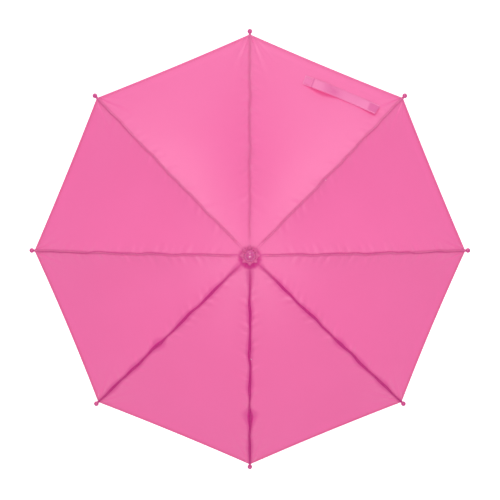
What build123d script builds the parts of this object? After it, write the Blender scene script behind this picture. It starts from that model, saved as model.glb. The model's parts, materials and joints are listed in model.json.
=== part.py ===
"""Children's umbrella, shown open: J handle, steel shaft, eight-rib frame and gored canopy.

Millimetres, +Z up along the shaft, origin at the middle of the handle's straight grip.
Rib 1 points along +X, and the ribs are numbered anticlockwise seen from above.
"""

import os
from math import cos, degrees, hypot, pi, radians, sin

from build123d import *

# Frame
rib_count = 8
pitch = 360 / rib_count  # degrees from one rib to the next
pivot_height = 440.0  # crown wire above the origin
pivot_radius = 11.0  # crown wire and runner wire

# Shaft
shaft_radius = 4.0
shaft_wall = 0.6
shaft_insert = 55.0  # how far the shaft goes into the grip
shaft_above_pivot = 20.0

# Ribs: U-section on an arc that starts at rib_start_slope below horizontal
rib_curve_radius = 834.0
rib_start_slope = 8.4
rib_length = 354.0  # along the arc, from the crown wire
rib_width = 2.2
rib_depth = 2.2
rib_wall = 0.4
rivet_at = 157.0  # along the arc, from the crown wire

# Stretchers: U-section that the ribs lie in when the umbrella is closed
stretcher_wall = 0.4
stretcher_side_gap = 0.25  # between a rib's side and the stretcher's cheek
stretcher_depth = 2.6

# Pivots
wire_radius = 0.6
running_clearance = 0.08
eye_radius = 1.9
eye_width = 1.8
eye_length = 4.5  # flattened end, from the wire to where the U-section starts
shank_lap = 3.0  # how far the flattened end runs on inside the U-section
fork_length = 6.0  # cheeks without a web at the rivet
rivet_radius = 0.7
rivet_head_radius = 1.5
rivet_head = 0.5

# Crown and runner
slot_clearance = 0.3
hub_radius = pivot_radius + 3.0
hub_slot_root = pivot_radius - eye_radius - 0.7
crown_top = eye_radius + 0.1  # above the crown wire
hub_depth = 4.5  # below the wire
runner_top = 4.0  # above the runner wire
runner_bore_clearance = 0.1
sleeve_radius = shaft_radius + 2.3
sleeve_length = 46.0  # from the runner wire to the rim's lower face
rim_radius = sleeve_radius + 2.2
rim_height = 4.0
window_width = 3.6
window_low = 33.0  # below the runner wire
window_high = 21.0

# Rib tips
tip_ball_radius = 4.0
tip_ball_at = rib_length + 8.0  # along the arc
tip_socket_wall = 0.54  # at the corners of the rib's section
tip_socket_radius = hypot(rib_width, rib_depth) / 2 + tip_socket_wall
tip_socket_start = rib_length - 5.0
tip_socket_end = rib_length + 4.0
tip_neck_radius = 1.6
pocket_clearance = 0.05

# Canopy
fabric = 0.4
canopy_lift = crown_top + 1.0  # from the ribs' centre line to the fabric's underside
inner_rosette_radius = hub_radius - 2.0
canopy_start = inner_rosette_radius + 0.6  # radius where the gores leave the rosettes
canopy_end = rib_length  # along the rib's arc
gore_dip = 8.0  # the middle of a gore below a straight line between its ribs
seam_gap = 0.15  # from a seam or a gore's middle to the solid

# Top end
rosette_radius = hub_radius + 1.5
felt = 0.6
ferrule_radius = 9.0
ferrule_straight = 17.0

# Catches
slot_width = 2.4
tooth_width = 2.0
tooth_reach = 1.9  # outside the shaft
tooth_height = 9.0
leaf_length = 26.0
leaf_thickness = 0.8
catch_clearance = 0.4

# Pins
pin_radius = 0.75
stop_pin_length = 2 * shaft_radius + 5.0

# Handle
grip_radius = 8.5
grip_top = 45.0
grip_bottom = -35.0
hook_radius = 26.0
hook_end = 12.0
collar_radius = grip_radius + 0.9
collar_height = 8.0
handle_pin_height = 32.0

# Strap
strap_width = 16.0
strap_length = 123.0
strap_thickness = 0.8
strap_clearance = 0.5
strap_gore = 2
strap_inside_hem = 39.0  # strap's centre line from the hem
strap_past_middle = 25.0  # sewn end from the gore's middle
tape_size = 12.0
tape_thickness = 0.8
tape_inset = 1.5

os.makedirs("parts", exist_ok=True)

arc_centre = (
    pivot_radius - rib_curve_radius * sin(radians(rib_start_slope)),
    pivot_height - rib_curve_radius * cos(radians(rib_start_slope)),
)


def save(name, shape):
    """Write a node, which is one solid or a group of separate solids."""
    export_step(shape, f"parts/{name}.step")


def group(solids):
    return Compound(children=[s.solid() for s in solids])


def slope_at(length):
    """Degrees below horizontal at this arc length from the crown wire."""
    return rib_start_slope + degrees(length / rib_curve_radius)


def rib_point(length, lift=0.0):
    """(radius, height) at an arc length, lifted square off the rib's centre line."""
    a, r = radians(slope_at(length)), rib_curve_radius + lift
    return arc_centre[0] + r * sin(a), arc_centre[1] + r * cos(a)


def rib_plane(length):
    """Local x tangential, local y outward from the canopy, local z along the rib."""
    a = radians(slope_at(length))
    r, z = rib_point(length)
    return Plane(origin=(r, 0, z), x_dir=(0, 1, 0), z_dir=(cos(a), 0, -sin(a)))


def along_rib(section, start, end):
    """Carry a flat section, drawn round the centre line, along the rib's arc."""
    centre = Axis((arc_centre[0], 0, arc_centre[1]), (0, 1, 0))
    turn = degrees((end - start) / rib_curve_radius)
    return revolve(rib_plane(start) * section, centre, turn)


def u_section(width, depth, wall):
    """U open towards local -Y, centred on its own origin."""
    hollow = Pos(0, -wall) * Rectangle(width - 2 * wall, depth)
    return Rectangle(width, depth) - hollow


def across(radius, length, x=0.0, y=0.0, z=0.0):
    """Cylinder along Y, centred on the point."""
    return Pos(x, y, z) * Rot(90, 0, 0) * Cylinder(radius, length)


def at_rib(shape, number):
    """Turn a shape made over +X to the azimuth of a rib."""
    return Rot(0, 0, (number - 1) * pitch) * shape


stretcher_length = 2 * rib_curve_radius * sin(rivet_at / rib_curve_radius / 2)
stretcher_rise = (slope_at(0) + slope_at(rivet_at)) / 2  # degrees, runner to rivet
runner_height = pivot_height - 2 * stretcher_length * sin(radians(stretcher_rise))
rivet_radius_at, rivet_height = rib_point(rivet_at)
wire_hole = wire_radius + running_clearance
rivet_hole = rivet_radius + running_clearance


# Ribs and their tips


def make_rib():
    channel = along_rib(u_section(rib_width, rib_depth, rib_wall), eye_length, rib_length)
    shank = along_rib(Rectangle(eye_width, rib_depth), 0, eye_length + shank_lap)
    eye = across(eye_radius, eye_width, pivot_radius, 0, pivot_height)
    rib = channel + shank + eye
    rib -= across(wire_hole, 3 * eye_width, pivot_radius, 0, pivot_height)
    rib -= across(rivet_hole, 3 * rib_width, rivet_radius_at, 0, rivet_height)
    return rib.solid()


def make_rib_tip():
    middle = (tip_socket_start + tip_socket_end) / 2
    length = tip_socket_end - tip_socket_start
    socket = rib_plane(middle) * Cylinder(tip_socket_radius, length)
    neck = rib_plane(tip_socket_end) * Cylinder(tip_neck_radius, 2 * tip_ball_radius)
    neck &= rib_plane(tip_socket_end + tip_ball_radius / 2) * Cylinder(
        tip_ball_radius, tip_ball_radius
    )
    ball = rib_plane(tip_ball_at) * Sphere(tip_ball_radius)
    pocket = Rectangle(rib_width + 2 * pocket_clearance, rib_depth + 2 * pocket_clearance)
    tip = socket + neck + ball
    tip -= along_rib(pocket, tip_socket_start - 1, rib_length + pocket_clearance)
    return tip.solid()


# Stretchers, made along +X from the runner wire at the origin and then turned into place


def make_stretcher():
    width = rib_width + 2 * stretcher_side_gap + 2 * stretcher_wall
    section = u_section(width, stretcher_depth, stretcher_wall)
    body_length = stretcher_length - eye_length
    # the U opens downwards, which is outwards, towards the rib, in the closed umbrella
    start = Plane(origin=(eye_length, 0, 0), x_dir=(0, 1, 0), z_dir=(1, 0, 0))
    channel = extrude(start * section, body_length)
    web_end = stretcher_length - fork_length
    inner = width - 2 * stretcher_wall
    web_cut = Pos(web_end + fork_length, 0, stretcher_depth / 2) * Box(
        2 * fork_length, inner, 2 * stretcher_wall
    )
    bar = channel - web_cut
    bar += across(stretcher_depth / 2, width, stretcher_length) - across(
        stretcher_depth, inner, stretcher_length
    )
    bar += Pos(eye_length / 2, 0, 0) * Box(eye_length, eye_width, stretcher_depth)
    bar += Pos(eye_length + shank_lap / 2, 0, 0) * Box(shank_lap, inner, stretcher_depth)
    bar += across(eye_radius, eye_width)
    bar -= across(wire_hole, 3 * eye_width)
    bar -= across(rivet_radius, 2 * width, stretcher_length)
    rivet = across(rivet_radius, width, stretcher_length)
    for side in (-1, 1):
        head_y = side * (width + rivet_head) / 2
        rivet += across(rivet_head_radius, rivet_head, stretcher_length, head_y)
    place = Pos(pivot_radius, 0, runner_height) * Rot(0, -stretcher_rise, 0)
    return [place * bar.solid(), place * rivet.solid()]


# Crown, runner and the wires


def slots(top, bottom):
    """Eight radial slots, one for each rib or stretcher."""
    width = rib_width + 2 * stretcher_side_gap + 2 * stretcher_wall + 2 * slot_clearance
    length = hub_radius
    cut = Pos(hub_slot_root + length / 2, 0, (top - bottom) / 2) * Box(
        length, width, top + bottom + 2
    )
    return [at_rib(cut, number) for number in range(1, rib_count + 1)]


def make_hub(top, bottom, bore):
    hub = Pos(0, 0, (top - bottom) / 2) * Cylinder(hub_radius, top + bottom)
    hub -= Cylinder(bore, 4 * (top + bottom))
    hub -= Torus(pivot_radius, wire_hole)
    for cut in slots(top, bottom):
        hub -= cut
    return hub


def make_crown():
    hub = make_hub(crown_top, hub_depth, shaft_radius)
    hub -= Rot(0, 0, pitch / 2) * across(pin_radius, 4 * hub_radius, z=crown_pin_drop)
    return (Pos(0, 0, pivot_height) * hub).solid()


def make_runner():
    bore = shaft_radius + runner_bore_clearance
    hub = make_hub(runner_top, hub_depth, bore)
    sleeve_middle = -(hub_depth + sleeve_length) / 2
    sleeve = Pos(0, 0, sleeve_middle) * Cylinder(sleeve_radius, sleeve_length - hub_depth)
    rim = Pos(0, 0, rim_height / 2 - sleeve_length) * Cylinder(rim_radius, rim_height)
    runner = hub + (sleeve + rim - Cylinder(bore, 4 * sleeve_length))
    window_middle = -(window_low + window_high) / 2
    window = Pos(sleeve_radius, 0, window_middle) * Box(
        2 * sleeve_radius - 1, window_width, window_low - window_high
    )
    return (Pos(0, 0, runner_height) * (runner - window)).solid()


crown_pin_drop = -1.6
stop_pin_height = runner_height + runner_top + pin_radius + catch_clearance
top_tooth_top = runner_height - sleeve_length - catch_clearance
closed_slope = 88.0  # of a rib's chord, degrees below horizontal
chord_slope = (slope_at(0) + slope_at(tip_ball_at)) / 2
fold_angle = closed_slope - chord_slope
closed_rise = radians(stretcher_rise + fold_angle)
closed_runner_height = pivot_height - 2 * stretcher_length * sin(closed_rise)
bottom_tooth_bottom = closed_runner_height - window_low + catch_clearance


def make_catch(tooth_bottom, ramp_up):
    """Sprung leaf inside the shaft with a tooth through the shaft's slot."""
    out, back = shaft_radius + tooth_reach, shaft_radius - shaft_wall - 1.0
    low, high = tooth_bottom, tooth_bottom + tooth_height
    if ramp_up:
        outline = [(back, low), (out, low), (out, low + 2), (shaft_radius, high), (back, high)]
    else:
        outline = [(back, low), (shaft_radius, low), (out, high - 2), (out, high), (back, high)]
    tooth = make_face(Plane.XZ * Polyline(*outline, close=True))
    tooth = extrude(tooth, tooth_width / 2, both=True)
    leaf_x = back - leaf_thickness / 2
    leaf = Pos(leaf_x, 0, (low + high) / 2) * Box(leaf_thickness, tooth_width, leaf_length)
    return (tooth + leaf).solid()


def shaft_slot(tooth_bottom):
    """Slot through one side of the shaft for a tooth."""
    height = tooth_height + 2 * catch_clearance
    middle = tooth_bottom + tooth_height / 2
    return Pos(shaft_radius, 0, middle) * Box(2 * shaft_radius - 2, slot_width, height)


top_tooth_bottom = top_tooth_top - tooth_height


def make_shaft():
    bottom, top = grip_top - shaft_insert, pivot_height + shaft_above_pivot
    tube = Pos(0, 0, (bottom + top) / 2) * (
        Cylinder(shaft_radius, top - bottom)
        - Cylinder(shaft_radius - shaft_wall, 2 * (top - bottom))
    )
    tube -= shaft_slot(top_tooth_bottom)
    tube -= shaft_slot(bottom_tooth_bottom)
    for height in (pivot_height + crown_pin_drop, stop_pin_height, handle_pin_height):
        tube -= Rot(0, 0, pitch / 2) * across(pin_radius, 4 * shaft_radius, z=height)
    return tube.solid()


def make_pins():
    sizes = [
        (pivot_height + crown_pin_drop, 2 * hub_radius - 1),
        (stop_pin_height, stop_pin_length),
        (handle_pin_height, 2 * grip_radius - 0.2),
    ]
    turn = Rot(0, 0, pitch / 2)
    return group([turn * across(pin_radius, length, z=height) for height, length in sizes])


# Handle


def make_handle():
    grip_length = grip_top - grip_bottom
    grip = Pos(0, 0, (grip_top + grip_bottom) / 2) * Cylinder(grip_radius, grip_length)
    disc = Pos(0, 0, grip_bottom) * Circle(grip_radius)
    hook_axis = Axis((hook_radius, 0, grip_bottom), (0, -1, 0))
    hook = revolve(disc, hook_axis, 180)
    end = Pos(2 * hook_radius, 0, grip_bottom + hook_end / 2)
    handle = grip + hook + end * Cylinder(grip_radius, hook_end)
    handle += Pos(2 * hook_radius, 0, grip_bottom + hook_end) * Sphere(grip_radius)
    handle -= Pos(0, 0, grip_top) * Cylinder(shaft_radius, 2 * shaft_insert)
    handle -= Rot(0, 0, pitch / 2) * across(
        pin_radius, 4 * grip_radius, z=handle_pin_height
    )
    return handle.solid()


def make_collar():
    ring = Pos(0, 0, grip_top + collar_height / 2) * Cylinder(collar_radius, collar_height)
    ring = chamfer(ring.edges().group_by(Axis.Z)[-1], 2.0)
    bore = Pos(0, 0, grip_top) * Cylinder(shaft_radius, 4 * collar_height)
    return (ring - bore).solid()


# Top end


def ring_at(low, thickness, outer, inner):
    ring = Cylinder(outer, thickness) - Cylinder(inner, 3 * thickness)
    return (Pos(0, 0, low + thickness / 2) * ring).solid()


inner_rosette_low = pivot_height + crown_top
centre_low = pivot_height + canopy_lift * cos(radians(rib_start_slope))
rosette_low = centre_low + fabric
ferrule_low = rosette_low + felt


def make_ferrule():
    straight = Pos(0, 0, ferrule_low + ferrule_straight / 2) * Cylinder(
        ferrule_radius, ferrule_straight
    )
    dome = Pos(0, 0, ferrule_low + ferrule_straight) * Sphere(ferrule_radius)
    top = pivot_height + shaft_above_pivot
    bore_length = top - ferrule_low
    bore = Pos(0, 0, top - bore_length) * Cylinder(shaft_radius, 2 * bore_length)
    above = Pos(0, 0, ferrule_low + 2 * ferrule_straight) * Cylinder(
        2 * ferrule_radius, 4 * ferrule_straight
    )
    return ((straight + dome - bore) & above).solid()


# Canopy: each gore is two halves that meet at its middle


def gore_point(length, lift, share):
    """(x, y, z) on the gore beside rib 1: share 0 over the rib, 1 at the gore's middle.

    The fabric runs straight from rib to rib at each arc length, less a dip that is
    greatest half way out and none at the hem.
    """
    radius, height = rib_point(length, lift)
    half = radians(pitch / 2)
    dip = gore_dip * sin(pi * length / canopy_end)
    x, y = radius * (1 - share * sin(half) ** 2), radius * share * sin(half) * cos(half)
    return x, y, height - dip * share * share


def middle_normal():
    half = radians(pitch / 2)
    return Vector(-sin(half), cos(half), 0)


def make_half_gore():
    """Half gore on the +Y side of rib 1, lofted from the seam to the gore's middle."""
    start = (canopy_start - pivot_radius) / cos(radians(rib_start_slope))
    under, over = canopy_lift, canopy_lift + fabric
    seam_points = [
        [Vector(*gore_point(s, lift, 0)) + Vector(0, seam_gap, 0) for lift in (under, over)]
        for s in (start, canopy_end / 2, canopy_end)
    ]
    lower, upper = zip(*seam_points)
    seam = make_face(
        [
            ThreePointArc(*lower),
            Line(lower[-1], upper[-1]),
            ThreePointArc(*upper),
            Line(upper[0], lower[0]),
        ]
    )
    steps = [start + (canopy_end - start) * n / 6 for n in range(7)]
    inset = middle_normal() * -seam_gap
    lower = [Vector(*gore_point(s, under, 1)) + inset for s in steps]
    upper = [Vector(*gore_point(s, over, 1)) + inset for s in steps]
    middle = make_face(
        [
            Spline(*lower),
            Line(lower[-1], upper[-1]),
            Spline(*upper),
            Line(upper[0], lower[0]),
        ]
    )
    return Solid.make_loft([seam.face().outer_wire(), middle.face().outer_wire()], ruled=True)


# Strap, sewn to the outside of one gore and parallel to its hem


def strap_plane():
    """On gore 1: origin on its middle under the strap, x towards the sewn end."""
    length = canopy_end - strap_inside_hem / cos(radians(pitch / 2))
    low = Vector(*gore_point(length - strap_width / 2, canopy_lift + fabric, 1))
    high = Vector(*gore_point(length + strap_width / 2, canopy_lift + fabric, 1))
    down = (high - low).normalized()
    sideways = middle_normal()
    up = sideways.cross(down) * -1
    if up.Z < 0:
        up = up * -1
    lift = strap_clearance + tape_thickness + gore_rise(length)
    middle = (low + high) * 0.5 + up * lift
    return Plane(origin=middle, x_dir=sideways, z_dir=up)


def gore_rise(length):
    """How far the gore stands above its middle at the strap's free end."""
    return gore_dip * sin(pi * (length - strap_width) / canopy_end)


def make_strap():
    plane = strap_plane()
    middle_x = strap_past_middle - strap_length / 2
    band = Box(strap_length, strap_width, strap_thickness)
    strap = plane * Pos(middle_x, 0, strap_thickness / 2) * band
    tape = Box(tape_size, tape_size, tape_thickness)
    sewn_x = strap_past_middle - tape_inset - tape_size / 2
    free_x = strap_past_middle - strap_length + tape_inset + tape_size / 2
    loop_tape = plane * Pos(sewn_x, 0, strap_thickness + tape_thickness / 2) * tape
    hook_tape = plane * Pos(free_x, 0, -tape_thickness / 2) * tape
    return [at_rib(piece.solid(), strap_gore) for piece in (strap, loop_tape, hook_tape)]


def build_all():
    save("shaft", make_shaft())
    save("shaft_pins", make_pins())
    save("handle", make_handle())
    save("handle_collar", make_collar())
    save("ferrule", make_ferrule())
    save("rosette", ring_at(rosette_low, felt, rosette_radius, shaft_radius))
    felt_under = centre_low - inner_rosette_low
    save("inner_rosette", ring_at(inner_rosette_low, felt_under, inner_rosette_radius, shaft_radius))
    centre_radius = canopy_start * cos(radians(pitch / 2)) - 2 * seam_gap
    save("canopy_centre", ring_at(centre_low, fabric, centre_radius, shaft_radius))
    save("crown", make_crown())
    save("crown_wire", (Pos(0, 0, pivot_height) * Torus(pivot_radius, wire_radius)).solid())
    save("runner", make_runner())
    save("runner_wire", (Pos(0, 0, runner_height) * Torus(pivot_radius, wire_radius)).solid())
    save("top_catch", make_catch(top_tooth_bottom, False))
    save("bottom_catch", make_catch(bottom_tooth_bottom, True))
    rib, tip, stretcher = make_rib(), make_rib_tip(), make_stretcher()
    half_left = make_half_gore()
    half_right = mirror(half_left, about=Plane.XZ)
    for number in range(1, rib_count + 1):
        save(f"rib_{number}", at_rib(rib, number))
        save(f"rib_tip_{number}", at_rib(tip, number))
        save(f"stretcher_{number}", group([at_rib(piece, number) for piece in stretcher]))
        save(f"canopy_panel_{number}_left", at_rib(half_left, number))
        save(f"canopy_panel_{number}_right", at_rib(half_right, number + 1))
    strap, loop_tape, hook_tape = make_strap()
    save("strap", strap)
    save("strap_loop_tape", loop_tape)
    save("strap_hook_tape", hook_tape)


build_all()
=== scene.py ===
# %% [markdown]
# # A children's umbrella, open
# The frame of steel, the handle, the ferrule and the eight ball tips come from the
# engineering model. This lesson dresses them and makes everything that is cloth: sixteen
# half gores of thin polyester, their seams, hems and stitches, the rosette and the strap.
# All lengths are in metres, and +Z runs up the shaft.

# %% Load the frame
import json
import bpy
import numpy as np
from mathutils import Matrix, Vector


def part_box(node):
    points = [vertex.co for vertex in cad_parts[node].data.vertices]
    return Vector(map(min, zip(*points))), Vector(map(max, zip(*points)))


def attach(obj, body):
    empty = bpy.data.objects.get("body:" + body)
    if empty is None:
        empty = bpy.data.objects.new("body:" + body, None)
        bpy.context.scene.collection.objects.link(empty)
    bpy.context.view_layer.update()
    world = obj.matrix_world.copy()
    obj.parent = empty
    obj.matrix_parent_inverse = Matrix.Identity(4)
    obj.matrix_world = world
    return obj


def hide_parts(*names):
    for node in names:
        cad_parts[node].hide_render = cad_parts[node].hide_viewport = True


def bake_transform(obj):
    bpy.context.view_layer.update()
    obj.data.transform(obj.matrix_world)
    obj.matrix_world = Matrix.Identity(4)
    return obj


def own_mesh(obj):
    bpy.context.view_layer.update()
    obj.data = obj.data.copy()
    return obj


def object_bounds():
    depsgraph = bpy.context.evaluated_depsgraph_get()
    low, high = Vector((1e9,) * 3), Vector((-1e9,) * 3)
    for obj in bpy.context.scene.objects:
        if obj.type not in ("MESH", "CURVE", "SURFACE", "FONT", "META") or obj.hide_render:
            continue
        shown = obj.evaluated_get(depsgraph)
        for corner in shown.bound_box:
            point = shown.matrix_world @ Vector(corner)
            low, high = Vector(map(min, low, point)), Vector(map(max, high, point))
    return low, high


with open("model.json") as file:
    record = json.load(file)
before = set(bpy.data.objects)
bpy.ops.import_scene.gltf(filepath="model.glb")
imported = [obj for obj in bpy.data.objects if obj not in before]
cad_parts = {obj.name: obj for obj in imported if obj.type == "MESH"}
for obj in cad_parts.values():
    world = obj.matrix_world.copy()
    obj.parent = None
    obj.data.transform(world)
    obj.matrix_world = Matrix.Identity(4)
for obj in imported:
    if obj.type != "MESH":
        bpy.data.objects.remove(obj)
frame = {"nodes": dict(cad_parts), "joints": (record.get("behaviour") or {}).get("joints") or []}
cad_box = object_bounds()
joints = {joint["name"]: joint for joint in frame["joints"]}

# %% [markdown]
# ## The lie of the ribs
# A rib is an arc in an upright plane through the shaft. One function gives any point on
# it, so the cloth, the seams and the stitches all follow the same curve. The joint that a
# rib turns on gives where the arc begins.

# %% Driving sizes
RIBS = 8
PITCH = 2 * np.pi / RIBS
HALF = PITCH / 2
PIVOT_RADIUS, _, PIVOT_HEIGHT = joints["rib_1_fold"]["pos_m"]
CURVE_RADIUS = 0.834  # of the rib's arc
START_SLOPE = np.radians(8.4)  # of the arc at its pivot
CLOTH_START = 0.0018  # along the rib's arc
CLOTH_END = 0.354
CLOTH_LIFT = 0.0027  # of the cloth over the arc
GORE_DIP = 0.0095  # of a gore's middle under the line between its ribs


def rib_point(length, lift):
    """Radius and height on a rib: an arc by its length, lifted square off the arc."""
    angle = START_SLOPE + length / CURVE_RADIUS
    radius = CURVE_RADIUS + lift
    out = PIVOT_RADIUS - CURVE_RADIUS * np.sin(START_SLOPE) + radius * np.sin(angle)
    up = PIVOT_HEIGHT - CURVE_RADIUS * np.cos(START_SLOPE) + radius * np.cos(angle)
    return out, up


def turned(points, rib):
    """Points made beside rib 1, turned about the shaft to another rib."""
    a = (rib - 1) * PITCH
    x, y, z = points[..., 0], points[..., 1], points[..., 2]
    return np.stack([x * np.cos(a) - y * np.sin(a), x * np.sin(a) + y * np.cos(a), z], -1)


# %% [markdown]
# ## Putting a surface into a mesh
# Every new piece is a grid of points, worked out with numpy as one array. This helper
# joins the grid with four-sided faces, closes it round if it is a tube, and keeps the
# grid's own two lengths as a UV map in metres, so that a weave has the same size
# everywhere.

# %% Grid to mesh


def grid_faces(rows, columns, wrap=False):
    """Corner numbers of the faces between neighbouring rows and columns of a grid."""
    across = columns if wrap else columns - 1
    row, column = np.meshgrid(np.arange(rows - 1), np.arange(across), indexing="ij")
    after = (column + 1) % columns
    corners = (row * columns + column, row * columns + after)
    below = ((row + 1) * columns + after, (row + 1) * columns + column)
    return np.stack([*corners, *below], -1).reshape(-1, 4)


def new_mesh(name, points, faces, uv=None, smooth=True):
    """A mesh object from arrays, with an optional UV pair for each point."""
    mesh = bpy.data.meshes.new(name)
    mesh.from_pydata(points.reshape(-1, 3).tolist(), [], faces.tolist())
    if uv is not None:
        layer = mesh.uv_layers.new(name="cloth")
        index = np.empty(len(mesh.loops), np.int32)
        mesh.loops.foreach_get("vertex_index", index)
        layer.data.foreach_set("uv", uv.reshape(-1, 2)[index].astype(np.float32).ravel())
    if smooth:
        mesh.polygons.foreach_set("use_smooth", np.ones(len(mesh.polygons), bool))
    mesh.update()
    piece = bpy.data.objects.new(name, mesh)
    bpy.context.scene.collection.objects.link(piece)
    return piece


def finish_piece(piece, material):
    """Give a piece its material."""
    piece.data.materials.append(material)
    return piece


def thicken(piece, thickness):
    """Solidify, applied at once."""
    solid = piece.modifiers.new("thickness", "SOLIDIFY")
    solid.thickness = thickness
    solid.offset = 0.0
    apply_modifiers(piece)


def apply_modifiers(piece):
    """Replace the mesh by what its modifiers make of it."""
    depsgraph = bpy.context.evaluated_depsgraph_get()
    made = bpy.data.meshes.new_from_object(piece.evaluated_get(depsgraph))
    piece.modifiers.clear()
    piece.data = made


# %% [markdown]
# ## Materials
# Thin polyester lets a good part of the light through, so its shader mixes light thrown
# back with light let through. The weave is two fine waves crossed, in the cloth's own UV
# lengths. Plastics get a faint orange-peel bump and steel gets fine lines along it.

# %% Node helpers


def new_material(name):
    """An empty node material with its Principled shader at hand."""
    material = bpy.data.materials.new(name)
    material.use_nodes = True
    return material, material.node_tree.nodes, material.node_tree.links


def set_sockets(shader, **values):
    """Set plain numbers and colours on the shader's own sockets."""
    for name, value in values.items():
        shader.inputs[name.replace("_", " ")].default_value = value


def add_bump(nodes, links, height, shader, strength, distance):
    """Bump from a height output into a shader's normal."""
    bump = nodes.new("ShaderNodeBump")
    bump.inputs["Strength"].default_value = strength
    bump.inputs["Distance"].default_value = distance
    links.new(height, bump.inputs["Height"])
    links.new(bump.outputs["Normal"], shader.inputs["Normal"])


def colour_between(nodes, links, factor, low, high):
    """A colour ramp between two colours, driven by a number."""
    ramp = nodes.new("ShaderNodeValToRGB")
    ramp.color_ramp.elements[0].color = (*low, 1)
    ramp.color_ramp.elements[1].color = (*high, 1)
    links.new(factor, ramp.inputs["Fac"])
    return ramp.outputs["Color"]


def object_noise(nodes, links, scale, detail=2.0):
    """Noise on the piece's own coordinates."""
    place = nodes.new("ShaderNodeTexCoord")
    noise = nodes.new("ShaderNodeTexNoise")
    noise.inputs["Scale"].default_value = scale
    noise.inputs["Detail"].default_value = detail
    links.new(place.outputs["Object"], noise.inputs["Vector"])
    return noise.outputs["Fac"]


# %% Polyester, thread and tape
PINK = (0.91, 0.118, 0.39)
PINK_DEEP = (0.89, 0.106, 0.365)
STRAP_PINK = (0.94, 0.16, 0.47)
# deep pink of several layers of cloth, made darker as painted shade of seam grooves and the hub
TUCK_AND_SHADE_PINK = (0.62, 0.008, 0.23)  # several layers, seen in the depth of a seam
YARN_PITCH = 0.00045
WAVES_PER_SCALE = 0.314  # a Wave texture of this scale has one wave to the unit


def make_cloth(name, low, high, let_through, weave=1.0, roughness=0.5):
    """Plain-woven polyester: two crossed waves for the yarns and a slow change of tone.

    Where the tuck_and_shade attribute is 1, the cloth has the deep colour, the pink of several
    layers with painted shade, and loses its gloss.
    """
    material, nodes, links = new_material(name)
    shader = nodes["Principled BSDF"]
    set_sockets(shader, Roughness=roughness, Coat_Roughness=0.45)
    set_sockets(shader, Sheen_Weight=0.3, Sheen_Roughness=0.5)
    uv = nodes.new("ShaderNodeUVMap")
    uv.uv_map = "cloth"
    heights = []
    for direction in ("X", "Y"):
        yarn = nodes.new("ShaderNodeTexWave")
        yarn.bands_direction = direction
        yarn.inputs["Scale"].default_value = WAVES_PER_SCALE / YARN_PITCH
        yarn.inputs["Distortion"].default_value = 0.6
        links.new(uv.outputs["UV"], yarn.inputs["Vector"])
        heights.append(yarn.outputs["Fac"])
    over = nodes.new("ShaderNodeMath")
    over.operation = "MULTIPLY"
    links.new(heights[0], over.inputs[0])
    links.new(heights[1], over.inputs[1])
    add_bump(nodes, links, over.outputs[0], shader, 0.25 * weave, 0.0002)
    tone = object_noise(nodes, links, 14.0, detail=3.0)
    plain = colour_between(nodes, links, tone, low, high)
    tuck_and_shade_attribute = nodes.new("ShaderNodeAttribute")
    tuck_and_shade_attribute.attribute_name = "tuck_and_shade"
    # mixed towards the deep pink in tucks: layers of cloth together with painted shade
    blend = nodes.new("ShaderNodeMix")
    blend.data_type = "RGBA"
    links.new(tuck_and_shade_attribute.outputs["Fac"], blend.inputs["Factor"])
    links.new(plain, blend.inputs["A"])
    blend.inputs["B"].default_value = (*TUCK_AND_SHADE_PINK, 1)
    colour = blend.outputs["Result"]
    links.new(colour, shader.inputs["Base Color"])
    for socket in ("Coat Weight", "Specular IOR Level"):
        dull = nodes.new("ShaderNodeMapRange")
        dull.inputs["To Min"].default_value = 1.0
        dull.inputs["To Max"].default_value = 0.1
        links.new(tuck_and_shade_attribute.outputs["Fac"], dull.inputs["Value"])
        links.new(dull.outputs["Result"], shader.inputs[socket])
    through = nodes.new("ShaderNodeBsdfTranslucent")
    links.new(colour, through.inputs["Color"])
    mix = nodes.new("ShaderNodeMixShader")
    mix.inputs["Fac"].default_value = let_through
    links.new(shader.outputs["BSDF"], mix.inputs[1])
    links.new(through.outputs["BSDF"], mix.inputs[2])
    links.new(mix.outputs["Shader"], nodes["Material Output"].inputs["Surface"])
    return material


polyester = make_cloth("pink_polyester", PINK_DEEP, PINK, 0.16)
doubled = make_cloth("doubled_polyester", PINK_DEEP, PINK, 0.42)
strap_cloth = make_cloth("strap_polyester", PINK, STRAP_PINK, 0.0)
# the felt's tone runs down to the deep pink, so the washers round the ferrule are darkened partly
# as painted shade
felt = make_cloth("pink_felt", TUCK_AND_SHADE_PINK, PINK_DEEP, 0.0, weave=0.4, roughness=0.9)


def make_thread():
    """Sewing thread: a little darker and shinier than the cloth, with a fine twist."""
    material, nodes, links = new_material("sewing_thread")
    shader = nodes["Principled BSDF"]
    set_sockets(shader, Roughness=0.4, Sheen_Weight=0.3)
    twist = object_noise(nodes, links, 3000.0)
    colour = colour_between(nodes, links, twist, (0.80, 0.09, 0.34), (0.90, 0.13, 0.40))
    links.new(colour, shader.inputs["Base Color"])
    add_bump(nodes, links, twist, shader, 0.3, 0.0001)
    return material


def make_tape(name, scale):
    """Hook tape: a fine field of bumps, darker between them."""
    material, nodes, links = new_material(name)
    shader = nodes["Principled BSDF"]
    set_sockets(shader, Roughness=0.85, Sheen_Weight=0.4)
    place = nodes.new("ShaderNodeTexCoord")
    hooks = nodes.new("ShaderNodeTexVoronoi")
    hooks.inputs["Scale"].default_value = scale
    links.new(place.outputs["Object"], hooks.inputs["Vector"])
    colour = colour_between(
        nodes, links, hooks.outputs["Distance"], (0.72, 0.08, 0.30), (0.45, 0.03, 0.16)
    )
    links.new(colour, shader.inputs["Base Color"])
    add_bump(nodes, links, hooks.outputs["Distance"], shader, 0.8, 0.0004)
    return material


thread = make_thread()
loop_tape_cloth = make_cloth("loop_tape", PINK, STRAP_PINK, 0.0, weave=2.0, roughness=0.9)
hook_tape_cloth = make_tape("hook_tape", 700.0)

# %% Plastics and steel


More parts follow.
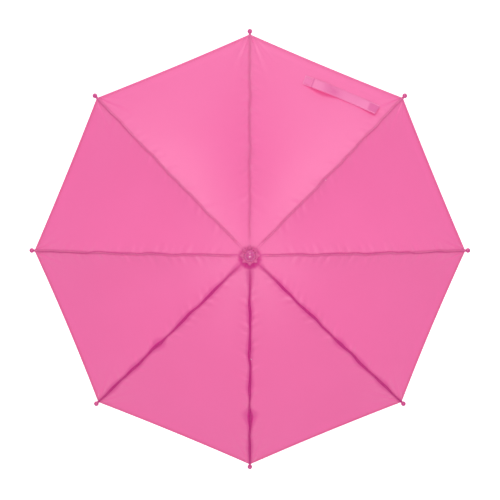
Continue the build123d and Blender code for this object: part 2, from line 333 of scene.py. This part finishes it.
def make_plastic(name, low, high, roughness, coat=0.4):
    """Moulded plastic: faint orange peel, small changes of tone and a clear skin."""
    material, nodes, links = new_material(name)
    shader = nodes["Principled BSDF"]
    set_sockets(shader, Roughness=roughness, Coat_Weight=coat, Coat_Roughness=0.15)
    set_sockets(shader, Subsurface_Weight=0.1, Subsurface_Scale=0.002)
    colour = colour_between(nodes, links, object_noise(nodes, links, 40.0), low, high)
    links.new(colour, shader.inputs["Base Color"])
    add_bump(nodes, links, object_noise(nodes, links, 700.0), shader, 0.06, 0.0003)
    return material


def make_steel(name, low, high, roughness):
    """Drawn steel: long fine lines along the piece and slightly uneven gloss."""
    material, nodes, links = new_material(name)
    shader = nodes["Principled BSDF"]
    set_sockets(shader, Metallic=1.0, Roughness=roughness)
    place = nodes.new("ShaderNodeTexCoord")
    stretch = nodes.new("ShaderNodeMapping")
    stretch.inputs["Scale"].default_value = (1500.0, 1500.0, 30.0)
    links.new(place.outputs["Object"], stretch.inputs["Vector"])
    lines = nodes.new("ShaderNodeTexNoise")
    lines.inputs["Scale"].default_value = 1.0
    lines.inputs["Detail"].default_value = 4.0
    links.new(stretch.outputs["Vector"], lines.inputs["Vector"])
    colour = colour_between(nodes, links, lines.outputs["Fac"], low, high)
    links.new(colour, shader.inputs["Base Color"])
    add_bump(nodes, links, lines.outputs["Fac"], shader, 0.05, 0.0001)
    return material


FERRULE_PINK = ((0.62, 0.055, 0.26), (0.68, 0.075, 0.30))
ferrule_plastic = make_plastic("ferrule_plastic", *FERRULE_PINK, 0.3, coat=0.5)
tip_plastic = make_plastic("tip_plastic", *FERRULE_PINK, 0.25)
handle_plastic = make_plastic("handle_plastic", *FERRULE_PINK, 0.22, coat=0.7)
white_plastic = make_plastic("white_plastic", (0.80, 0.80, 0.79), (0.86, 0.86, 0.85), 0.3)
bright_steel = make_steel("bright_steel", (0.62, 0.63, 0.65), (0.74, 0.75, 0.77), 0.2)
plain_steel = make_steel("plain_steel", (0.42, 0.43, 0.45), (0.55, 0.56, 0.58), 0.32)

FINISHES = {
    "shaft": bright_steel,
    "shaft_pins": plain_steel,
    "crown_wire": plain_steel,
    "runner_wire": plain_steel,
    "top_catch": plain_steel,
    "bottom_catch": plain_steel,
    "handle": handle_plastic,
    "handle_collar": white_plastic,
    "crown": white_plastic,
    "runner": white_plastic,
    "ferrule": ferrule_plastic,
}
for rib in range(1, RIBS + 1):
    FINISHES[f"rib_{rib}"] = bright_steel
    FINISHES[f"stretcher_{rib}"] = bright_steel
    FINISHES[f"rib_tip_{rib}"] = tip_plastic


def dress(node, material):
    """Put a material on every slot of a piece of the frame."""
    mesh = frame["nodes"][node].data
    if not mesh.materials:
        mesh.materials.append(material)
    for index in range(len(mesh.materials)):
        mesh.materials[index] = material


for node, material in FINISHES.items():
    dress(node, material)
print("dressed", len(FINISHES), "pieces of the frame")

# %% [markdown]
# ## The shape of a gore
# A gore is cloth pulled tight between two curved ribs. Along the rib it must follow the
# arc. Across, it hangs a little below the straight line, like a shallow saddle. Near a
# seam the doubled cloth puckers, and from each corner soft creases run inward, because
# the tip pulls there. Each of these is one smooth term added to the surface. The
# tuck at a seam is several layers deep and lets little light through, so its depth is
# also kept for the colour, with painted shade on top: the seams away from the window are
# painted darkest. Round the hub the gathered cloth is deep in the same way, and its colour
# there is painted shade of the parts under it, more so on the side away from the window.

# %% Gore surface
SEAM_WOBBLE = 0.0009
GROOVE_DEPTH = 0.0008
PUCKER = 0.0004
SLOW_WAVE = 0.0006
# the top rib faces the window, and its seam has the faintest painted shade
TOP_RIB = 3  # its seam is pulled flat
# the deep ribs face away from the window, and their seams have the darkest painted shade
DEEP_SHADED_RIBS = (6, 7, 8)  # their seams are tucked in deepest
# for ribs 1 to 8: how closely the seam is tucked in, which also sets how dark its painted
# shade is, and how wide the tuck is
TUCK_AND_SHADE_STRENGTH = (0.55, 0.3, 0.12, 0.3, 0.55, 0.95, 1.0, 0.95)
TUCK_WIDTH = (0.0012, 0.0010, 0.0026, 0.0010, 0.0012, 0.0025, 0.0025, 0.0025)
# on the deep ribs: where along the rib the tuck bulges, and by what share
BULGE = {6: (0.200, 0.5), 7: (0.260, 0.9), 8: (0.200, 0.5)}
TUCK_SWAP = 0.252  # where the two lines of a split tuck change sides
# for gores 1 to 8: how far the hem's middle bows in towards the shaft
HEM_BOW = (0.0016, 0.0018, 0.0018, 0.0016, 0.0030, 0.0022, 0.0022, 0.0030)
# creases from each corner: rise, angle from the seam, and how far it reaches
CREASES = ((-0.0016, 0.33, 0.028), (0.0013, 0.50, 0.024), (-0.0011, 0.85, 0.02))
CREASE_WIDTH = 0.07  # in radians
# lengths of the waves that a seam wanders in, and of the ripples beside it
SEAM_WAVES = (0.083, 0.047, 0.029)
RIPPLES = (0.019, 0.031, 0.013)
rng = np.random.default_rng(7)
seam_phase = rng.uniform(0, 2 * np.pi, (RIBS, 4))
pucker_phase = rng.uniform(0, 2 * np.pi, (2 * RIBS, 6))


def hump(x, middle, width):
    """A smooth bump: 1 at the middle, fading over the width."""
    return np.exp(-(((x - middle) / width) ** 2))


def ramp(x, start, run):
    """0 up to the start, rising to 1 over the run."""
    return np.clip((x - start) / run, 0, 1)


def side_run(radius, share):
    """Sideways distance from the rib's plane to a share of the way to the gore's middle."""
    return radius * share * np.sin(HALF) * np.cos(HALF)


def seam_shift(length, rib):
    """How far the seam wanders sideways off the rib: three slow waves, none at the ends."""
    phase = seam_phase[rib - 1]
    waves = sum(
        np.sin(2 * np.pi * length / wave + phase[n]) / (n + 1.2)
        for n, wave in enumerate(SEAM_WAVES)
    )
    fade = np.sin(np.pi * np.clip(length / CLOTH_END, 0, 1)) ** 0.5
    return SEAM_WOBBLE * waves * fade


def hub_gather_and_shade(length, offset, rib):
    """How deep the gathered cloth is round the hub, 0 to 1; the same number paints shade
    there, for the parts under the cloth, darkest on the side away from the window.
    """
    around = (rib - 1) * PITCH + offset / (PIVOT_RADIUS + np.maximum(length, 0))
    # painted shade: the side away from the window gets more
    low = 0.5 - 0.5 * np.sin(around)  # 1 straight away from the window
    return (0.5 + 0.4 * low) / (1 + np.exp((length - 0.004 - 0.008 * low) / 0.0012))


def tuck_and_shade(length, offset, rib):
    """How deep a point is in the seam's tuck, 0 to 1, by its signed offset from the seam.
    The same number sets the seam's painted shade, and takes in the painted shade round the hub.

    The tuck's width swells and pinches along the rib. On the deep ribs it bulges once,
    is pinched just inside the bulge, and narrows at the tip. On the top rib it is one
    faint line. On the others it splits into a wide line and a thin one, which change
    sides near the rib's outer end.
    """
    k = rib - 1
    wave = np.sin(2 * np.pi * length / 0.061 + seam_phase[k, 3])
    width = TUCK_WIDTH[k] * (1 + 0.25 * wave)
    if rib in DEEP_SHADED_RIBS:
        bulge, swell = BULGE[rib]
        width = width * (1 + swell * hump(length, bulge, 0.014))
        width = width * (1 - 0.5 * hump(length, bulge - 0.024, 0.012))
        width = width * (1 - 0.35 * ramp(length, 0.31, 0.04))
        near_hub = 1 - 0.45 * np.clip(1 - length / 0.06, 0, 1)
        deep = np.exp(-((np.abs(offset) / width) ** 4)) * near_hub
        soft = 0.45 * np.exp(-((offset / (2.1 * width)) ** 4))
        lines = np.maximum(deep, soft)
    elif rib == TOP_RIB:
        lines = hump(offset, 0, width)
    else:
        swap = np.tanh((length - TUCK_SWAP) / 0.006)
        turn = 1 if rib in (1, 2) else -1
        wide = hump(offset, -turn * 0.0010 * swap, width)
        thin = 0.6 * hump(offset, turn * 0.0022 * swap, 0.0007)
        lines = np.maximum(wide, thin)
    return np.maximum(TUCK_AND_SHADE_STRENGTH[k] * lines, hub_gather_and_shade(length, offset, rib))


def cloth_lift(length):
    """The cloth lies just over the rib, and rises over the crown and the tip's socket."""
    over_crown = 0.0009 * hump(length, 0, 0.018)
    over_socket = ramp(length, 0.335, 0.012)
    return CLOTH_LIFT + over_crown + 0.0007 * over_socket**2 * (3 - 2 * over_socket)


def gore_dip(part, flat):
    """How far a gore hangs under the line between its ribs, by parts along and across."""
    return GORE_DIP * np.sin(np.pi * part**1.3) * flat


def gore(length, share, rib, side):
    """Points of the half gore on one side of a rib: share 0 on the seam, 1 at its middle.

    Radius and height come from the rib's arc, and the straight line to the next rib gives
    the sideways place. The dip, the puckers, the creases and the hem's bow are added.
    """
    gore_number = (rib - 1) if side > 0 else (rib - 2) % RIBS
    phase = pucker_phase[2 * (rib - 1) + (side < 0)]
    flat = share * (2 - share)
    part = np.clip(length / CLOTH_END, 0, 1)
    bow = HEM_BOW[gore_number] * flat * part**6
    radius, height = rib_point(length - bow, cloth_lift(length))
    sideways = side_run(radius, share)
    outward = radius * (1 - share * np.sin(HALF) ** 2)
    dip = gore_dip(part, flat)
    near = hump(sideways, 0, 0.012) * (1 - hump(sideways, 0, 0.004))
    ripple = sum(
        np.sin(2 * np.pi * length / wave + phase[n]) for n, wave in enumerate(RIPPLES)
    )
    pucker = PUCKER * near * ripple * np.sin(np.pi * part) ** 0.4 * ramp(length, 0, 0.09)
    groove = -GROOVE_DEPTH * tuck_and_shade(length, side * sideways, rib)
    from_corner = CLOTH_END - length
    spread = np.arctan2(sideways, from_corner + 0.004)
    reach = np.hypot(sideways, from_corner)
    crease = sum(
        rise * hump(spread, angle, CREASE_WIDTH) * np.exp(-reach / fade)
        for rise, angle, fade in CREASES
    )
    crease *= 1 - hump(reach, 0, 0.006)
    own_wave = pucker_phase[2 * gore_number, 5]
    slow = np.sin(2 * np.pi * length / 0.16 + own_wave) * np.sin(np.pi * share / 2) ** 2
    own = 1 - share**3  # terms of one half only, gone at the middle where halves meet
    slow = SLOW_WAVE * slow * np.sin(np.pi * part)
    lift = -dip + (pucker + groove + crease) * own + slow
    shift = seam_shift(length, rib) * np.exp(-sideways / 0.012) * own
    return turned(np.stack([outward, side * sideways + shift, height + lift], -1), rib)


# %% [markdown]
# ## Sixteen half gores
# Each gore is drawn as two halves that meet in its middle, each made beside its own rib.
# A half is a grid whose columns crowd near the seam, where the puckers are. The cloth is a
# single layer without thickness, so that no dark edge shows where two halves meet.

# %% Half gores
ROWS, COLUMNS = 220, 56
HEM_ROWS, HEM_COLUMNS = 6, 40
HEM_WIDTH = 0.005
HEM_BELOW = 0.00035  # from the cloth to the fold under it
CROWDING = 1.7


def half_grid(low, high, rows, columns):
    """Two arrays, length and share, on a grid whose columns crowd towards the seam."""
    length = np.linspace(low, high, rows)[:, None]
    share = np.linspace(0, 1, columns)[None, :] ** CROWDING
    return np.broadcast_arrays(length, share)


def cloth_uv(points):
    """Running lengths across and along the grid, in metres."""
    across = np.linalg.norm(np.diff(points, axis=1), axis=-1).cumsum(1)
    along = np.linalg.norm(np.diff(points, axis=0), axis=-1).cumsum(0)
    u = np.concatenate([np.zeros((points.shape[0], 1)), across], 1)
    v = np.concatenate([np.zeros((1, points.shape[1])), along], 0)
    return np.stack([u, v], -1)


def grid_area(points):
    """Area of the grid's cells, by the cross product of their diagonals."""
    a = points[1:, 1:] - points[:-1, :-1]
    b = points[1:, :-1] - points[:-1, 1:]
    return float(np.linalg.norm(np.cross(a, b), axis=-1).sum() / 2)


def gore_tuck_and_shade(length, share, rib, side):
    """Depth in the tuck over a half gore's grid, which also weighs the painted shade."""
    radius, _ = rib_point(length, 0)
    return tuck_and_shade(length, side * side_run(radius, share), rib)


def gather(piece):
    """Bake the piece's place into its mesh."""
    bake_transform(piece)


def panel_name(rib, side):
    """The half gore beside a rib belongs to the gore between it and its neighbour."""
    return f"{rib}_left" if side > 0 else f"{(rib - 2) % RIBS + 1}_right"


def sheet_piece(name, points, side, material, thickness=0.0, layers_and_shade=None):
    """A grid of cloth with its faces upwards, its UV lengths and perhaps a thickness."""
    if side < 0:
        points = points[:, ::-1]
    piece = new_mesh(name, points, grid_faces(*points.shape[:2]), cloth_uv(points))
    finish_piece(piece, material)
    # the tuck_and_shade attribute holds the layers of cloth and the painted shade for the colour
    if layers_and_shade is not None:
        layers_and_shade = layers_and_shade[:, ::-1] if side < 0 else layers_and_shade
        layer = piece.data.attributes.new("tuck_and_shade", "FLOAT", "POINT")
        layer.data.foreach_set("value", layers_and_shade.astype(np.float32).ravel())
    if thickness:
        thicken(piece, thickness)
    return piece


halves = {}
for rib in range(1, RIBS + 1):
    for side in (1, -1):
        length, share = half_grid(CLOTH_START, CLOTH_END, ROWS, COLUMNS)
        points = gore(length, share, rib, side)
        name = panel_name(rib, side)
        layers_and_shade = gore_tuck_and_shade(length, share, rib, side)
        cloth = sheet_piece(f"gore_{name}", points, side, polyester, layers_and_shade=layers_and_shade)
        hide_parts(f"canopy_panel_{name}")
        hem_grid = half_grid(CLOTH_END - HEM_WIDTH, CLOTH_END, HEM_ROWS, HEM_COLUMNS)
        hem_points = gore(*hem_grid, rib, side) - [0, 0, HEM_BELOW]
        hem = sheet_piece(f"hem_{name}", hem_points, side, doubled)
        halves[rib, side] = (cloth, hem, points)
print("half gore:", len(cloth.data.polygons), "faces,", round(grid_area(points), 4), "m2")

# %% [markdown]
# ## Stitches
# Thread is sewn in short dashes, each a small bar that dips at both ends. One dash has
# four rings of four corners and fourteen faces, and numpy repeats it along a line of
# points with the line's own direction.

# %% Stitch rows
STITCH = 0.0019
STITCH_GAP = 0.0008
THREAD_RADIUS = 0.00016
# along a stitch, and in thread radii above the cloth: its ends sink in
STITCH_PROFILE = np.array([[0.0, -0.6], [0.25, 1.0], [0.75, 1.0], [1.0, -0.6]])
THREAD_RING = np.array([[1.0, 0.0], [0.0, 1.0], [-1.0, 0.0], [0.0, -1.0]])
FACES_OF_STITCH = 14
UP = np.array([0.0, 0.0, 1.0])
# how far rows of stitches lie above the cloth of the hem, the seam and the strap
HEM_THREAD_RISE = 0.00011
SEAM_THREAD_RISE = 0.0001
STRAP_THREAD_RISE = 0.0003


def stitch_row(line):
    """Bars along a line of points: each a box whose ends sink into the cloth."""
    steps = np.linalg.norm(np.diff(line, axis=0), axis=1)
    run = np.concatenate([[0], steps.cumsum()])
    starts = np.arange(0, run[-1] - STITCH, STITCH + STITCH_GAP)
    places = np.stack([np.interp(starts, run, line[:, k]) for k in range(3)], -1)
    ends = np.stack([np.interp(starts + STITCH, run, line[:, k]) for k in range(3)], -1)
    along = ends - places
    along /= np.linalg.norm(along, axis=1)[:, None]
    above = UP - along * (UP * along).sum(1)[:, None]
    above /= np.linalg.norm(above, axis=1)[:, None]
    beside = np.cross(above, along)
    centre = (
        places[:, None, :]
        + (ends - places)[:, None, :] * STITCH_PROFILE[None, :, 0, None]
        + above[:, None, :] * STITCH_PROFILE[None, :, 1, None] * THREAD_RADIUS
    )
    points = (
        centre[:, :, None, :]
        + beside[:, None, None, :] * THREAD_RING[None, None, :, 0, None] * THREAD_RADIUS
        + above[:, None, None, :] * THREAD_RING[None, None, :, 1, None] * THREAD_RADIUS
    )
    caps = np.array([[3, 2, 1, 0], [12, 13, 14, 15]])
    one = np.concatenate([grid_faces(4, 4, wrap=True), caps])
    faces = (one[None] + 16 * np.arange(len(points))[:, None, None]).reshape(-1, 4)
    return points.reshape(-1, 3), faces


def thread_piece(name, rows):
    """One mesh from several stitch rows."""
    points, faces, count = [], [], 0
    for row_points, row_faces in rows:
        points.append(row_points)
        faces.append(row_faces + count)
        count += len(row_points)
    piece = new_mesh(name, np.concatenate(points), np.concatenate(faces), smooth=False)
    return finish_piece(piece, thread)


hem_thread = {}
for rib, side in halves:
    share = np.linspace(0.02, 1.0, 120)
    length = np.full_like(share, CLOTH_END - HEM_WIDTH + 0.001)
    line = gore(length, share, rib, side) + UP * HEM_THREAD_RISE
    piece = thread_piece(f"hem_stitches_{panel_name(rib, side)}", [stitch_row(line)])
    hem_thread[rib, side] = piece
print("hem stitches:", len(piece.data.polygons) // FACES_OF_STITCH, "on each half")

# %% [markdown]
# ## Seams
# Two gores are sewn edge to edge with the raw edges turned under, so the seam shows as a
# narrow groove with two rows of stitches, and the doubled cloth beneath it shows darker
# where light comes through. The strip underneath and both rows ride on the rib.

# %% Seam allowances and seam stitches
ALLOWANCE = 0.0022  # to each side of the seam
ALLOWANCE_BELOW = 0.0004
ALLOWANCE_THICKNESS = 0.0003


def offset_share(length, offset):
    """Share of the way to the gore's middle at a distance from the seam."""
    radius, _ = rib_point(length, 0)
    return np.abs(offset) / side_run(radius, 1)


def seam_line(rib, offset):
    """A line just above the cloth, along the seam or beside it."""
    length = np.linspace(0.016, CLOTH_END - 0.004, 260)
    return gore(length, offset_share(length, offset), rib, 1) + UP * SEAM_THREAD_RISE


def allowance_points(rib):
    """A strip under the seam, its width the same all the way along."""
    length = np.linspace(0.018, CLOTH_END - 0.002, 200)[:, None]
    offset = np.linspace(-ALLOWANCE, ALLOWANCE, 9)[None, :]
    grid = np.broadcast_arrays(length, offset_share(length, offset))
    left, right = gore(*grid, rib, 1), gore(*grid, rib, -1)
    return np.where((offset >= 0)[..., None], left, right) - UP * ALLOWANCE_BELOW


seams = {}
for rib in range(1, RIBS + 1):
    name = f"seam_allowance_{rib}"
    strip = sheet_piece(name, allowance_points(rib), 1, doubled, ALLOWANCE_THICKNESS)
    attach(strip, f"rib_{rib}")
    rows = [stitch_row(seam_line(rib, offset)) for offset in (0.0, ALLOWANCE)]
    sewn = thread_piece(f"seam_stitches_{rib}", rows)
    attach(sewn, f"rib_{rib}")
    seams[rib] = (strip, sewn)

for (rib, side), (cloth, hem, points) in halves.items():
    sewn = hem_thread[rib, side]
    for piece in (cloth, hem, sewn):
        gather(piece)
    with_pieces = [hem, sewn]
    if side > 0:
        with_pieces += list(seams[rib])
print("seams:", len(seams))

# %% [markdown]
# ## The rosette and the middle of the canopy
# The gores' points are clamped between two small washers round the shaft. The outer one
# is cloth with a pinked edge: its radius goes in and out in small teeth, with a soft lobe
# over each rib, and its rim droops onto the canopy.

# %% Washers
WASHER_HOLE = 0.0041
LOBE_WAVE = 0.00035


def washer(name, node, outer, thickness, below=0, droop=0, teeth=8, tooth=0, lobe=0):
    """A round of cloth at its CAD node's top, with lobes over the ribs and a toothed rim."""
    height = float(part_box(node)[1][2]) - below
    angle = np.linspace(0, 2 * np.pi, 24 * teeth, endpoint=False)[None, :]
    part = np.linspace(0, 1, 16)[:, None]
    saw = np.abs((angle * teeth / (2 * np.pi)) % 1 - 0.5) * 2
    rim = outer - tooth * (1 - saw) - lobe * (1 - np.cos(RIBS * angle)) / 2
    radius = WASHER_HOLE + (rim - WASHER_HOLE) * part
    z = height - droop * part**2 + LOBE_WAVE * np.cos(RIBS * angle) * part**2
    points = np.stack([radius * np.cos(angle), radius * np.sin(angle), z], -1)
    # rows run outwards and columns anticlockwise, which faces the cells upwards
    faces = grid_faces(*points.shape[:2], wrap=True)
    piece = new_mesh(name, points, faces, points[..., :2])
    finish_piece(piece, felt)
    thicken(piece, thickness)
    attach(piece, "stem")
    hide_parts(node)
    return piece


rosette = washer(
    "rosette_cloth", "rosette", 0.0155, 0.0005, droop=0.0009, teeth=32, tooth=0.0006, lobe=0.0045
)
middle = washer("canopy_middle", "canopy_centre", 0.0128, 0.0003, droop=0.0004)
backing = washer("backing_washer", "inner_rosette", 0.0118, 0.0006, below=0.0003)
# a round cut fills 0.74 of its square without its hole, and the lobed one 0.555
print("washers made")

# %% [markdown]
# ## The strap
# The strap is a narrow band sewn to the outside of one gore. It lies along the hem, held
# only at one end, so it stands off the canopy in a shallow wave: high just past the
# stitches, touching near the middle, and lifting again at the free end, where the hook
# tape stiffens it. The band is doubled cloth with a fold along each edge.

# %% Strap
STRAP_GORE = 2
STRAP_LENGTH = 0.123  # seen from above
STRAP_WIDTH = 0.016
STRAP_SLOPE = 0.94  # share of its width that is seen from above
STRAP_PAST_MIDDLE = 0.025  # its sewn end, from the gore's middle
STRAP_INSIDE_HEM = 0.039
STRAP_THICKNESS = 0.0006
STRAP_CLEARANCE = 0.0005
STRAP_ROWS, STRAP_COLUMNS = 110, 15
TAPE_THICKNESS = 0.0007
TAPE_BREADTH = 0.74  # share of the strap's width


def canopy_height(points):
    """Height of the canopy's top at points given beside the strap's gore's middle."""
    angle = np.arctan2(points[..., 1], points[..., 0])
    radius = np.hypot(points[..., 0], points[..., 1])
    middle_angle = (STRAP_GORE - 0.5) * PITCH
    off = np.clip(np.abs(angle - middle_angle), 0, HALF)
    length = np.linspace(CLOTH_START, CLOTH_END, 400)
    share = 1 - np.tan(off) / np.tan(HALF)
    rib_radius, rib_height = rib_point(length, cloth_lift(length))
    wanted = radius * np.cos(off) / np.cos(HALF)
    along = np.interp(wanted, rib_radius, length)
    height = np.interp(wanted, rib_radius, rib_height)
    return height - gore_dip(along / CLOTH_END, share * (2 - share))


def strap_frame():
    """Origin in the gore's middle, unit x towards the sewn end, unit y towards the hem."""
    a = (STRAP_GORE - 0.5) * PITCH
    sideways = np.array([-np.sin(a), np.cos(a), 0.0])
    outward = np.array([np.cos(a), np.sin(a), 0.0])
    reach = CLOTH_END - STRAP_INSIDE_HEM / np.cos(HALF)
    radius, _ = rib_point(reach, cloth_lift(reach))
    return outward * radius * np.cos(HALF), sideways, outward


def strap_points(rows, columns, below=0.0, span=(0.0, 1.0), breadth=1.0):
    """The band: t runs from the sewn end to the free end, w across it.

    The height above the canopy is a sum of soft humps along t, and the edge away from the
    hem stands higher than the other where the band twists.
    """
    t = np.linspace(*span, rows)[:, None]
    w = np.linspace(-0.5, 0.5, columns)[None, :] * breadth
    origin, sideways, outward = strap_frame()
    x = STRAP_PAST_MIDDLE - STRAP_LENGTH * t
    slant = 0.0035 * (w + 0.5) * ramp(t, 0.85, 0.15) ** 2
    bend = 0.0012 * np.sin(np.pi * t)
    place = (
        origin
        + (x - slant)[..., None] * sideways
        + ((w * STRAP_WIDTH + bend) * STRAP_SLOPE)[..., None] * outward
    )
    first = hump(t, 0.27, 0.15)  # the wave past the stitches
    last = ramp(t, 0.72, 0.28) ** 1.5  # the stiff free end
    rise = 0.0007 + 0.0042 * first + 0.0032 * last
    twist = (0.5 - w) * 0.0022 * first + (0.5 - w) * 0.0010 * last
    dent = 0.0016 * hump(t, 0.36, 0.05) * hump(w, 0.25, 0.3)
    off_cloth = STRAP_CLEARANCE + (rise + twist - dent) * ramp(t, 0, 0.1)
    place[..., 2] = canopy_height(place) + off_cloth - below
    return place


strap_grid = strap_points(STRAP_ROWS, STRAP_COLUMNS)
strap_t = np.linspace(0, 1, STRAP_ROWS)[:, None]
strap_w = np.linspace(-0.5, 0.5, STRAP_COLUMNS)[None, :]
# several layers lie at the line where it is sewn; the darker hollow is painted shade,
# and the darker taped end is a painted shadow of the hook tape under the band
sewn_line = 0.55 * hump(strap_t, 0.122, 0.008) * np.ones_like(strap_w)
hollow_shade = 0.30 * hump(strap_t, 0.40, 0.07) * hump(strap_w, 0.0, 0.35)
taped_end_shadow = 0.42 / (1 + np.exp((0.89 - strap_t) / 0.006)) * (np.abs(strap_w) < 0.42)
strap_layers_and_shade = np.maximum.reduce([sewn_line, hollow_shade, taped_end_shadow])
strap = sheet_piece(
    "strap_band", strap_grid, -1, strap_cloth, STRAP_THICKNESS, layers_and_shade=strap_layers_and_shade
)
bevel = strap.modifiers.new("soft edge", "BEVEL")
bevel.width = 0.0002
bevel.segments = 2
bevel.limit_method = "ANGLE"
apply_modifiers(strap)
# rows of stitches along both edges, and across beside each tape
edges = [strap_grid[3:-3, column] for column in (1, 13)]
crossings = [strap_grid[row, 1:14] for row in (13, 104)]
edge_rows = [stitch_row(line + UP * STRAP_THREAD_RISE) for line in edges + crossings]
strap_thread = thread_piece("strap_stitches", edge_rows)


def tape_piece(name, span, below, material):
    """A square of tape that follows the band, above or below it."""
    points = strap_points(24, 12, below, span, TAPE_BREADTH)[:, ::-1]
    piece = new_mesh(name, points, grid_faces(*points.shape[:2]), cloth_uv(points))
    finish_piece(piece, material)
    thicken(piece, TAPE_THICKNESS)
    return piece


loop_tape = tape_piece("strap_loop_square", (0.012, 0.105), -0.0006, loop_tape_cloth)
hook_tape = tape_piece("strap_hook_square", (0.893, 0.985), 0.0007, hook_tape_cloth)
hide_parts("strap")
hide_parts("strap_loop_tape")
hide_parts("strap_hook_tape")

# The strap, its stitches and its tapes hang from the strap's body, each with a mesh of its own.
# The strap can't follow the cloth as it gathers.
for piece in (strap, strap_thread, loop_tape, hook_tape):
    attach(piece, "strap")
    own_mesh(piece)
# the cut follows the slope of the canopy, so it is wider and longer than seen from above
strap_run = cloth_uv(strap_grid)
print("strap:", round(grid_area(strap_grid) * 1e4, 1), "cm2")

# %% [markdown]
# ## Floor, light and camera
# A white floor lies under the handle. One large soft light stands beyond the top of the
# canopy, as a window would, another hangs overhead, and a bright room fills the rest, so
# that light also comes up through the cloth. The camera looks almost straight down the
# shaft through a long lens.

# %% Floor
FLOOR_HALF_WIDTH = 4
FLOOR_GAP = 0.002  # under the handle
WHITE = (1, 1, 1, 1)
floor_height = float(cad_box[0][2]) - FLOOR_GAP
floor_corners = FLOOR_HALF_WIDTH * np.array([[-1, -1, 0], [1, -1, 0], [1, 1, 0], [-1, 1, 0]], float)
floor = new_mesh(
    "floor", floor_corners + UP * floor_height, np.array([[0, 1, 2, 3]]), smooth=False
)
floor_paint, floor_nodes, _ = new_material("white_floor")
floor_shader = floor_nodes["Principled BSDF"]
set_sockets(floor_shader, Base_Color=(0.93, 0.93, 0.93, 1), Roughness=0.9)
set_sockets(floor_shader, Emission_Color=WHITE, Emission_Strength=0.75)
floor.data.materials.append(floor_paint)

# %% Light
LIGHT_TARGET = (0, 0, 0.35)


def soft_light(name, place, size, power):
    """A square area light aimed at the canopy."""
    data = bpy.data.lights.new(name, "AREA")
    data.shape = "SQUARE"
    data.size = size
    data.energy = power
    lamp = bpy.data.objects.new(name, data)
    lamp.location = place
    aim = Vector(LIGHT_TARGET) - Vector(place)
    lamp.rotation_euler = aim.to_track_quat("-Z", "Y").to_euler()
    bpy.context.scene.collection.objects.link(lamp)


soft_light("window", (0.1, 2.6, 2.3), 1.6, 25)
soft_light("overhead", (0, -0.3, 2.4), 1.2, 19)
world = bpy.data.worlds.new("bright_room")
bpy.context.scene.world = world
world.use_nodes = True
background = world.node_tree.nodes["Background"]
background.inputs["Color"].default_value = WHITE
background.inputs["Strength"].default_value = 0.45

# %% Camera
TILT = np.radians(3.3)
DISTANCE = 3.0
CAMERA_TARGET = np.array([0.0002, 0.0052, 0.39])
FOCAL_LENGTH = 139.4  # millimetres
towards = np.array([0.0, np.sin(TILT), np.cos(TILT)])
lens = bpy.data.cameras.new("camera")
lens.sensor_width = 36.0
lens.lens = FOCAL_LENGTH
camera = bpy.data.objects.new("camera", lens)
camera.location = CAMERA_TARGET + towards * DISTANCE
camera.rotation_euler = (-TILT, 0.0, 0.0)
bpy.context.scene.collection.objects.link(camera)
bpy.context.scene.camera = camera
bpy.context.scene.view_settings.view_transform = "Standard"
